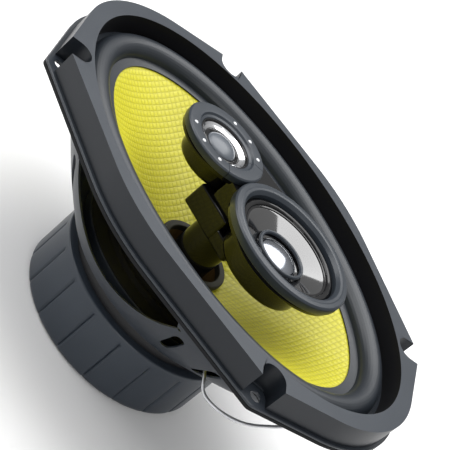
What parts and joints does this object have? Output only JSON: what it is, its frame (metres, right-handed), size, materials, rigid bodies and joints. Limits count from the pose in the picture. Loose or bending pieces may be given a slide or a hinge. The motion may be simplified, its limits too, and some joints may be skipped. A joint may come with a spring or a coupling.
{
  "type": "coaxial car speaker",
  "caption": "Oval coaxial car loudspeaker with a woven woofer cone, a midrange and a dome tweeter on a central post, and a rubber-booted ring magnet.",
  "frame": {"origin": "centre of the four screw holes, on the back face of the mounting gasket", "axes": "+Z towards the listener, out of the cone; +X along the long axis towards the midrange"},
  "size_m": [0.2352, 0.1728, 0.1016],
  "materials": {
    "black_steel": "satin black powder coat",
    "trim_plastic": "satin slate grey moulding",
    "foam": "closed-cell foam",
    "plated_steel": "zinc plated",
    "ferrite": "sintered ferrite",
    "neodymium": "nickel plated",
    "boot_rubber": "satin moulded rubber",
    "yellow_weave": "glazed plain weave",
    "surround_rubber": "satin rubber",
    "neck_felt": "matt ring",
    "former_film": "polyimide film",
    "copper": "enamelled copper wire",
    "spider_cloth": "impregnated cotton",
    "gloss_black": "polished black moulding",
    "bezel_plastic": "satin slate grey moulding",
    "chrome_trim": "bright chrome",
    "mirror_film": "metallised film",
    "satin_dome": "satin grey polymer",
    "stud_white": "white",
    "capacitor_sleeve": "shrink sleeve",
    "phenolic": "phenolic board",
    "tinned_brass": "tinned",
    "tinsel": "braided tinsel wire",
    "wire_black": "insulated wire"
  },
  "bodies": {
    "frame": {"basket": "black_steel", "bezel_studs": "stud_white", "carrier_post": "gloss_black", "crossover_lead_negative": "wire_black", "crossover_lead_positive": "wire_black", "magnet_boot": "boot_rubber", "midrange_bezel": "bezel_plastic", "midrange_capacitor": "capacitor_sleeve", "midrange_cup": "gloss_black", "midrange_magnet": "neodymium", "midrange_pole_plate": "plated_steel", "midrange_surround": "surround_rubber", "midrange_yoke": "plated_steel", "mounting_gasket": "foam", "plate_rivets": "plated_steel", "post_nut": "plated_steel", "ring_magnet": "ferrite", "spider": "spider_cloth", "surround": "surround_rubber", "terminal_board": "phenolic", "terminal_negative": "tinned_brass", "terminal_positive": "tinned_brass", "terminal_rivets": "plated_steel", "tinsel_lead_negative": "tinsel", "tinsel_lead_positive": "tinsel", "top_plate": "plated_steel", "trim_ring": "trim_plastic", "tweeter_bezel": "bezel_plastic", "tweeter_bezel_sector": "bezel_plastic", "tweeter_capacitor": "capacitor_sleeve", "tweeter_cup": "gloss_black", "tweeter_magnet": "neodymium", "tweeter_pole_plate": "plated_steel", "tweeter_reflector": "chrome_trim", "tweeter_spacer": "gloss_black", "tweeter_surround": "surround_rubber", "tweeter_yoke": "plated_steel", "web_plate": "bezel_plastic", "yoke": "plated_steel"},
    "woofer": {"woofer_cone": "yellow_weave", "neck_collar": "neck_felt", "coil_former": "former_film", "voice_coil": "copper"},
    "midrange": {"midrange_cone": "gloss_black", "midrange_dust_cap": "mirror_film", "midrange_trim_ring": "gloss_black", "midrange_voice_coil": "copper"},
    "tweeter": {"tweeter_dome": "satin_dome", "tweeter_voice_coil": "copper"}
  },
  "joints": [
    {"name": "woofer_travel", "type": "slide", "parent": "frame", "child": "woofer", "axis": [0, 0, 1], "range_m": [-0.005, 0.005], "stiffness_N_per_m": 2500, "deforming": ["surround", "spider", "tinsel_lead_positive", "tinsel_lead_negative"]},
    {"name": "midrange_travel", "type": "slide", "parent": "frame", "child": "midrange", "axis": [0, 0, 1], "range_m": [-0.0008, 0.0008], "stiffness_N_per_m": 1500, "deforming": ["midrange_surround"]},
    {"name": "tweeter_travel", "type": "slide", "parent": "frame", "child": "tweeter", "axis": [0, 0, 1], "range_m": [-0.0003, 0.0003], "stiffness_N_per_m": 1200, "deforming": ["tweeter_surround"]}
  ]
}
